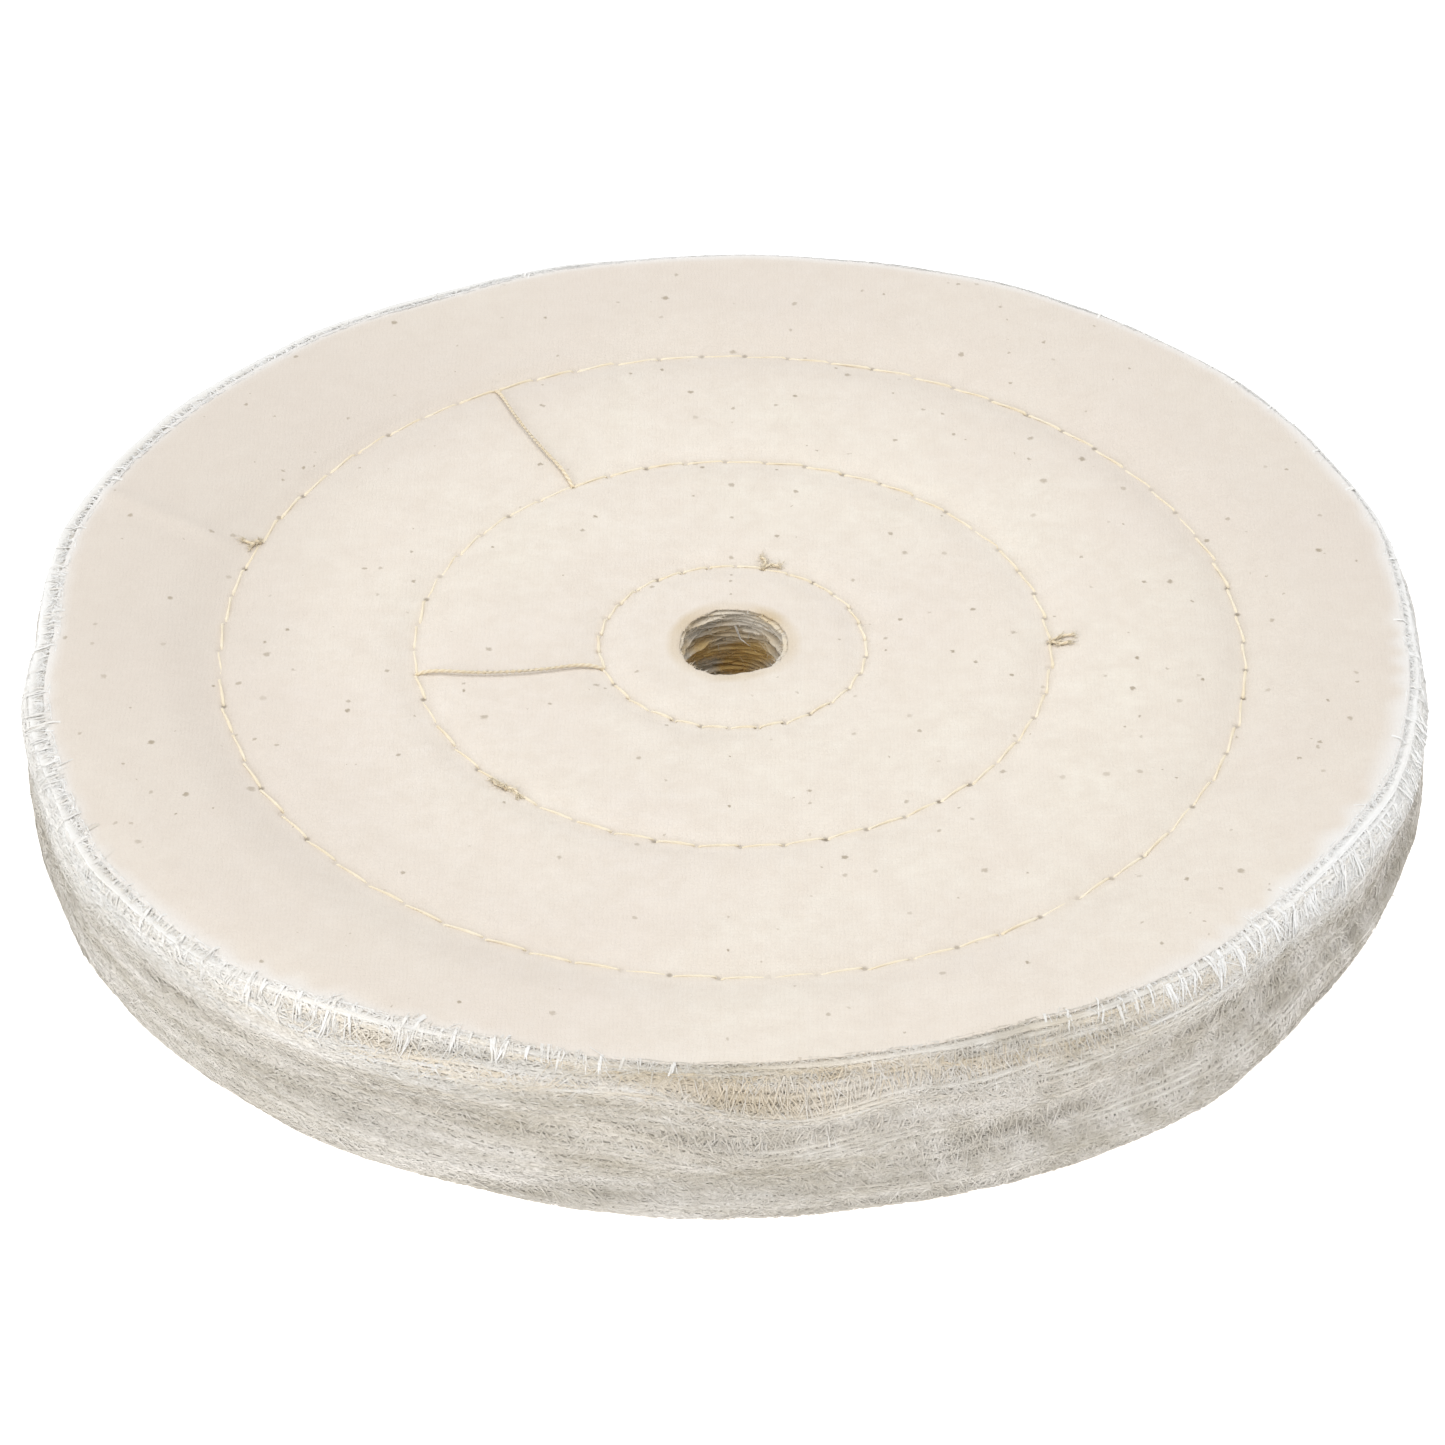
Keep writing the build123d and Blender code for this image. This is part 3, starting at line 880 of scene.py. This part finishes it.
def shoulder_tufts(count, finer):
    """White tufts of frayed yarn over the upper shoulder, in wide soft locks where the edge is ragged."""
    draw = np.random.default_rng(5000 + finer)
    angle = draw.uniform(-math.pi, math.pi, count)
    ragged = at_angles(RAGGED, angle) * (0.15 + 0.85 * soft_step(frayed_patches(angle), -0.75, 0.1))
    angle = angle[draw.random(count) < ragged]
    count = len(angle)
    lock = frayed_patches(angle)
    wisp = angle * WISPS  # the yarns gather into wisps about 2 mm apart
    angle = angle - 0.6 / WISPS * np.sin(wisp)
    wisp_lean = 0.30 * np.sin(np.round(wisp / (2 * math.pi)) * 2.3)
    reach = at_angles(TUFT_REACH, angle) * np.clip(draw.gamma(14.0, 0.25, count), 1.8, 5.0) * MM
    reach *= 0.75 + 0.25 * lock
    start = -draw.gamma(3.0, 0.17, count) * MM * (0.6 + 0.5 * lock)
    lean = wisp_lean + draw.normal(0, 0.45 if finer else 0.14, count)
    places, normals = [], []
    for share, lift in ((0.0, -0.06), (0.3, 0.14), (0.65, 0.18), (1.0, 0.06)):
        along = start + share * (reach - start)
        sway = (lean * (along - start) + draw.normal(0, 0.06, count) * MM) / WHEEL_RADIUS
        raised = lift * draw.uniform(0.5, 1.3, count) * (0.9 + 0.5 * np.cos(wisp)) * MM
        place, normal = shoulder_place(angle + sway, along, raised)
        places.append(place)
        normals.append(normal)
    width = (draw.uniform(0.06, 0.11, count) if finer else draw.uniform(0.20, 0.40, count)) * MM
    # whiter along each wisp's raised middle: painted highlight
    white = at_angles(TUFT_WHITE, angle) + 0.15 * np.cos(wisp)
    extra = {
        "white_fray_and_highlight": np.clip(white + draw.normal(0, 0.08, count), 0, 1),
        "browning_and_shade": 0.08 * draw.random(count) ** 3,
        "felted": 0 * angle,
    }
    return draped(np.stack(places, axis=1), np.stack(normals, axis=1), width, draw.random(count), extra)


LONG_YARN_PLY = PLIES - 6  # the ply from which one long yarn hangs down at the back of the hole


def bore_fringe(ply, count):
    """Short ragged fibres round a ply's hole."""
    draw = np.random.default_rng(3000 + ply)
    angle, step, outward, sideways, upward = round_places(draw, count)
    radius = BORE_EDGE[ply][step] + 0.1 * MM
    roots = roots_at(ply, radius, angle, step, draw.uniform(-0.6, 0.6, count))
    aims = sideways * draw.normal(0, 0.9, count)[:, None] + upward * draw.normal(0, 0.4, count)[:, None]
    aims -= outward
    curl = sideways * draw.normal(0, 0.4, count)[:, None] + upward * draw.normal(0, 0.3, count)[:, None]
    length = np.clip(draw.gamma(2.5, 0.20, count), 0.2, 1.3) * MM
    width = draw.uniform(0.05, 0.12, count) * MM
    if ply == LONG_YARN_PLY:
        aims[0], curl[0] = (0.1, -0.35, -1.0), (0.5, -0.1, 0.3)
        roots[0] = BORE_EDGE[ply][540] * np.array((0.05, 1.0, 0)) + (0, 0, roots[0][2])
        length[0], width[0] = 3.4 * MM, 0.3 * MM
    extra = {
        "white_fray_and_highlight": draw.uniform(0.0, 0.6, count),
        "browning_and_shade": np.clip(bore_browning(ply, step) + draw.normal(-0.02, 0.15, count), 0.05, 0.95),
        "felted": 0 * angle,
    }
    if ply == LONG_YARN_PLY:
        extra["white_fray_and_highlight"][0], extra["browning_and_shade"][0] = 0.7, 0.1
    return fibres(roots, aims, length, width, curl, draw.random(count), extra)


def merged(groups):
    """Several sets of points, faces and values as one."""
    points, faces, values, start = [], [], {}, 0
    for some_points, some_faces, some_values in groups:
        points.append(some_points)
        faces.append(some_faces + start)
        start += len(some_points)
        for label, given in some_values.items():
            values.setdefault(label, []).append(given)
    values = {label: np.concatenate(given) for label, given in values.items()}
    return np.concatenate(points), np.concatenate(faces), values


def make_fringe(ply, name, count):
    """All the frayed yarns and fibres of one ply, kept above the table."""
    groups = [felt_mat(ply, int(0.93 * count)), loose_fibres(ply, int(0.07 * count)), bore_fringe(ply, 100)]
    if ply == PLIES - 1:
        groups += [shoulder_tufts(int(0.85 * count), 0), shoulder_tufts(int(0.7 * count), 1)]
    points, faces, values = merged(groups)
    floor = -RIM_HALF + 0.02 * MM
    points[:, 2] = np.maximum(points[:, 2], floor)
    piece = new_piece(f"frayed_yarns_{name}", points, faces, FRINGE_COTTON, values, smooth=False)
    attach(piece, "root")
    return piece


FIBRES_PER_PLY = 4700
PLY_NAMES = ["face_ply_bottom", *(f"ply_{number:02d}" for number in range(2, PLIES)), "face_ply_top"]
for ply, ply_name in enumerate(PLY_NAMES):
    cloth = make_ply(ply, ply_name)
    fringe = make_fringe(ply, ply_name, FIBRES_PER_PLY)


# ---------------------------------------------------------------- the threads

THREAD_RADIUS = 0.17 * MM
JUMP_RADIUS = 0.22 * MM  # slack thread is fatter than thread pulled tight in a stitch
STRAND_SIDES = 8
TWIST_LENGTH = 1.5 * MM  # one turn of the thread's strands
# Half of a stitch's path: place along a stitch of length 1, and height in mm over the seam
STITCH_HALF = ((-0.49, -0.6), (-0.47, -0.25), (-0.4, -0.08), (-0.14, -0.04))
# A jump's path: share of its length, height in mm over the seam, and share of its sideways bow
JUMP_PATH = (
    (0.0, -0.2, 0.0), (0.02, 0.15, 0.0), (0.12, 0.84, 0.2), (0.35, 0.90, 0.8),
    (0.65, 0.90, 0.95), (0.88, 0.84, 0.4), (0.98, 0.15, 0.0), (1.0, -0.2, 0.0),
)

# Where the thread jumps from seam to seam: two needle holes, and how far it bows sideways
JUMPS = {
    "inner_to_middle": (("inner", 19), ("middle", 13), 1.5 * MM),
    "middle_to_outer": (("middle", 4), ("outer", 29), 0.7 * MM),
}
# Where the thread's cut ends come out: seam, needle hole, and the turn from straight
# out in degrees, the reach and the sideways bend of each end
TAILS = {
    "inner_seam": ("inner", 9, ((-80, 1.7, 0.4), (25, 1.5, -0.5))),
    "middle_seam_start": ("middle", 36, ((8, 2.6, 0.5), (-14, 2.1, -0.4))),
    "middle_seam_end": ("middle", 18, ((78, 2.1, 0.5), (-88, 1.7, 0.4))),
    "outer_seam": ("outer", 37, ((22, 1.9, 0.4), (72, 1.6, -0.3))),
}


def hole_place(seam, number, height=0.0):
    radius, stitches, first = SEAMS[seam]
    angle = math.radians(first + 360.0 * number / stitches)
    return Vector((radius * math.cos(angle), radius * math.sin(angle), height))


def model_stitch():
    """One stitch of unit length along X, that dives into a needle hole at each end."""
    path = STITCH_HALF + tuple((-place, height) for place, height in reversed(STITCH_HALF))
    deselect()
    bpy.ops.mesh.primitive_circle_add(
        vertices=STRAND_SIDES,
        radius=THREAD_RADIUS,
        fill_type="NGON",
        location=(path[0][0], 0, path[0][1] * MM),
        rotation=(0, math.pi / 2, 0),
    )
    stitch = bpy.context.object
    bpy.ops.object.transform_apply(location=True, rotation=True, scale=True)
    bpy.ops.object.mode_set(mode="EDIT")
    bpy.ops.mesh.select_all(action="SELECT")
    bpy.ops.transform.resize(value=(1, 0.72, 1.1))
    for (back, low), (front, high) in zip(path, path[1:]):
        step = (front - back, 0, (high - low) * MM)
        bpy.ops.mesh.extrude_region_move(TRANSFORM_OT_translate={"value": step})
        pivot = (front, 0, high * MM)
        bpy.ops.transform.rotate(value=math.radians(58), orient_axis="X", center_override=pivot)
    bpy.ops.mesh.select_all(action="SELECT")
    bpy.ops.mesh.normals_make_consistent(inside=False)
    bpy.ops.object.mode_set(mode="OBJECT")
    bpy.ops.object.shade_smooth()
    stitch.data.materials.append(THREAD_COTTON)
    return stitch


def place_copy(pattern, across):
    """A copy of a mesh object with its own mesh, put in place in that mesh."""
    copy = pattern.copy()
    copy.data = pattern.data.copy()
    copy.data.transform(across)
    bpy.context.scene.collection.objects.link(copy)
    return copy


def join(pieces, name):
    """Several mesh objects made one."""
    deselect()
    for piece in pieces:
        piece.select_set(True)
    bpy.context.view_layer.objects.active = pieces[0]
    bpy.ops.object.join()
    joined = bpy.context.object
    joined.name = name
    return joined


def sew_seam(pattern, seam, side):
    """The stitches of one seam on one face, a little uneven in place and direction."""
    stitches = SEAMS[seam][1]
    draw = np.random.default_rng(stitches * (3 if side > 0 else 5))
    copies = []
    for number in range(stitches):
        start, end = hole_place(seam, number), hole_place(seam, number + 1)
        middle = (start + end) / 2
        run = end - start
        turn = math.atan2(run.y, run.x) + draw.normal(0.05, 0.03)
        outward = middle.normalized() * draw.normal(0, 0.05) * MM
        height = side * (SEAM_HALF + draw.normal(0.0, 0.03) * MM)
        place = Matrix.Translation(middle + outward + Vector((0, 0, height)))
        length, width = run.length * draw.uniform(0.95, 1.0), draw.uniform(0.9, 1.1)
        size = Matrix.Diagonal((length, width, side * draw.uniform(0.9, 1.15), 1))
        copies.append(place_copy(pattern, place @ Matrix.Rotation(turn, 4, "Z") @ size))
    seam_piece = join(copies, f"{'needle' if side > 0 else 'bobbin'}_stitches_{seam}_seam")
    if side < 0:
        seam_piece.data.flip_normals()
    return seam_piece


def smooth_route(points):
    """Points along one smooth NURBS line with the given points as its control points."""
    curve = bpy.data.curves.new("route", "CURVE")
    curve.dimensions = "3D"
    curve.resolution_u = 8
    spline = curve.splines.new("NURBS")
    spline.points.add(len(points) - 1)
    for point, place in zip(spline.points, points):
        point.co = (*place, 1.0)
    spline.order_u = 3
    spline.use_endpoint_u = True
    holder = put_in_scene("route", curve)
    bpy.context.view_layer.update()
    mesh = bpy.data.meshes.new_from_object(holder.evaluated_get(bpy.context.evaluated_depsgraph_get()))
    route = np.array([vertex.co[:] for vertex in mesh.vertices])
    bpy.data.objects.remove(holder)
    bpy.data.curves.remove(curve)
    bpy.data.meshes.remove(mesh)
    return route


def twisted_thread(route, radius):
    """Points, faces and values of a closed two-strand thread along a route."""
    ahead = unit(np.gradient(route, axis=0))
    across = unit(np.cross(ahead, [0.0, 0.0, 1.0]))
    over = np.cross(across, ahead)
    travelled = np.concatenate([[0.0], np.cumsum(np.linalg.norm(np.diff(route, axis=0), axis=1))])
    turn = np.arange(STRAND_SIDES)[None, :] * 2 * math.pi / STRAND_SIDES
    lobe = np.cos(2 * turn)
    spin = turn + travelled[:, None] / TWIST_LENGTH * 2 * math.pi
    reach = radius * (0.92 + 0.16 * lobe)
    rings = route[:, None, :] + reach[..., None] * (
        np.cos(spin)[..., None] * across[:, None, :] + np.sin(spin)[..., None] * over[:, None, :]
    )
    count = len(route)
    ring = (np.arange(count - 1) * STRAND_SIDES)[:, None]
    side = np.arange(STRAND_SIDES)[None, :]
    beside = (side + 1) % STRAND_SIDES
    after = ring + STRAND_SIDES
    quads = np.stack([ring + beside, ring + side, after + side, after + beside], axis=-1).reshape(-1, 4)
    points = np.concatenate([rings.reshape(-1, 3), route[:1], route[-1:]])
    first_tip, last_ring = count * STRAND_SIDES, (count - 1) * STRAND_SIDES
    caps = []
    for number in range(STRAND_SIDES):
        following = (number + 1) % STRAND_SIDES
        caps.append((first_tip, number, following))
        caps.append((first_tip + 1, last_ring + following, last_ring + number))
    faces = np.concatenate([quads[:, [0, 1, 2]], quads[:, [0, 2, 3]], np.array(caps)])
    # painted shade in the groove between the two strands
    groove_shade_and_tone = np.concatenate([np.repeat(0.5 - 0.5 * lobe, count, axis=0).ravel(), [0.0, 0.0]])
    return points, faces, {"groove_shade_and_tone": groove_shade_and_tone}


def thread_end_fibres(tip, ahead, seed, count=26):
    """Loose fibres that burst from a thread's cut end, or stand off its side."""
    draw = np.random.default_rng(seed)
    aims = np.array(ahead)[None, :] + draw.normal(0, 0.65, (count, 3)) * [[1, 1, 0.45]]
    curls = draw.normal(0, 0.5, (count, 3)) * [[1, 1, 0.35]]
    roots = np.array(tip)[None, :] + draw.normal(0, 0.12 * MM, (count, 3))
    lengths, widths = draw.uniform(0.3, 1.0, count) * MM, draw.uniform(0.05, 0.10, count) * MM
    points, faces, _ = fibres(roots, aims, lengths, widths, curls, draw.random(count), {})
    # a random darker tone for each loose fibre
    groove_shade_and_tone = np.repeat(draw.uniform(0, 0.4, count), len(points) // count)
    return points, faces, {"groove_shade_and_tone": groove_shade_and_tone}


def thread_piece(name, routes, bursts, side, radius=THREAD_RADIUS):
    """A piece of one or more twisted threads with loose fibres at the given places."""
    groups = [twisted_thread(route, radius) for route in routes]
    for seed, (tip, ahead) in enumerate(bursts):
        groups.append(thread_end_fibres(tip, ahead, 40 + seed + len(name)))
    points, faces, values = merged(groups)
    if side < 0:
        points = points * [[1, 1, -1]]
        faces = faces[:, ::-1]
    return new_piece(name, points, faces, THREAD_COTTON, values)


def make_jump(name, start_hole, end_hole, bow, side):
    """The thread carried across the face from seam to seam, slightly slack and bowed."""
    start, end = hole_place(*start_hole), hole_place(*end_hole)
    run = end - start
    sideways = Vector((-run.y, run.x, 0)).normalized()
    points = [
        start + run * share + sideways * (bow * bend) + Vector((0, 0, SEAM_HALF + lift * MM))
        for share, lift, bend in JUMP_PATH
    ]
    route = smooth_route(points)
    stray = [(route[len(route) // 3], run.normalized())]
    return thread_piece(name, [route], stray if side < 0 else [], side, JUMP_RADIUS)


def make_tails(name, seam, number, ends, side):
    """The cut ends at one needle hole, lying tangled on the cloth and bursting into fibres."""
    root = hole_place(seam, number, SEAM_HALF)
    outward = Vector((root.x, root.y, 0)).normalized()
    routes, bursts = [], [(root + Vector((0, 0, 0.25 * MM)), outward * 0.5)]
    for turn, reach, bend in ends:
        aim = Matrix.Rotation(math.radians(turn), 3, "Z") @ outward
        sideways = Vector((-aim.y, aim.x, 0)) * bend * MM
        points = [root - Vector((0, 0, 0.3 * MM)), root + aim * 0.1 * MM + Vector((0, 0, 0.25 * MM))]
        for share, bent in ((0.35, 0.8), (0.7, 1.0), (1.0, 0.2)):
            place = root + aim * share * reach * MM + sideways * bent
            ground = float(half_height(math.hypot(place.x, place.y)))
            points.append(Vector((place.x, place.y, ground + THREAD_RADIUS + 0.03 * MM)))
        route = smooth_route(points)
        routes.append(route)
        bursts += [(route[-2], aim), (route[len(route) // 2], aim)]
    return thread_piece(name, routes, bursts, side)


def finish_thread(piece, node):
    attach(piece, "root")
    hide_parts(node)


stitch_pattern = model_stitch()
for kind, side in (("needle", 1), ("bobbin", -1)):
    for seam in SEAMS:
        finish_thread(sew_seam(stitch_pattern, seam, side), f"{kind}_thread_{seam}_seam")
    for jump, (start_hole, end_hole, bow) in JUMPS.items():
        piece = make_jump(f"{kind}_thread_jump_{jump}", start_hole, end_hole, bow, side)
        finish_thread(piece, f"{kind}_jump_{jump}")
    for tail, (seam, number, ends) in TAILS.items():
        piece = make_tails(f"{kind}_thread_ends_{tail}", seam, number, ends, side)
        finish_thread(piece, f"{kind}_tails_{tail}")
bpy.data.objects.remove(stitch_pattern)


# --------------------------------------------------------------- floor and light

def make_floor():
    deselect()
    bpy.ops.mesh.primitive_plane_add(size=6.0, location=(0, 0, CAD_BOX[0][2]))
    floor = bpy.context.object
    floor.name = "white_table"
    material = bpy.data.materials.new("white table")
    material.use_nodes = True
    shader = material.node_tree.nodes["Principled BSDF"]
    shader.inputs["Base Color"].default_value = (0.9, 0.9, 0.9, 1)
    shader.inputs["Roughness"].default_value = 0.9
    shader.inputs["Emission Color"].default_value = (1, 1, 1, 1)
    shader.inputs["Emission Strength"].default_value = 0.75
    floor.data.materials.append(material)


def make_lights():
    world = bpy.data.worlds.new("soft studio")
    world.use_nodes = True
    background = world.node_tree.nodes["Background"]
    background.inputs[0].default_value = (1, 1, 1, 1)
    background.inputs[1].default_value = 0.62
    bpy.context.scene.world = world
    for name, place, size, power in (
        ("overhead softbox", (0.0, 0.08, 1.0), 0.9, 5.5),
        ("front fill", (-0.85, -0.8, 0.45), 0.8, 6.2),
        ("right fill", (1.0, 0.1, 0.35), 0.6, 1.1),
    ):
        light = bpy.data.lights.new(name, "AREA")
        light.size = size
        light.energy = power
        lamp = put_in_scene(name, light)
        lamp.location = place
        lamp.rotation_euler = (-Vector(place)).to_track_quat("-Z", "Y").to_euler()


def make_camera():
    """A long lens looking down at the wheel, aimed a little in front of the hole."""
    elevation, distance = math.radians(37.17), 629.5 * MM
    aim_down, aim_left, roll = math.radians(0.756), math.radians(0.093), math.radians(0.40)
    data = bpy.data.cameras.new("camera")
    data.sensor_width = 36.0
    data.lens = 145.9
    data.clip_start, data.clip_end = 0.01, 20.0
    camera = put_in_scene("camera", data)
    centre = Vector((0, 0, SEAM_HALF))
    back = Vector((0, -math.cos(elevation), math.sin(elevation)))
    camera.location = centre + back * distance
    camera.rotation_mode = "XYZ"
    base = (-back).to_track_quat("-Z", "Y").to_matrix()
    for turn, axis in ((aim_left, "Y"), (-aim_down, "X"), (roll, "Z")):
        base = base @ Matrix.Rotation(turn, 3, axis)
    camera.rotation_euler = base.to_euler()
    bpy.context.scene.camera = camera


make_floor()
make_lights()
make_camera()
bpy.context.scene.view_settings.view_transform = "Standard"
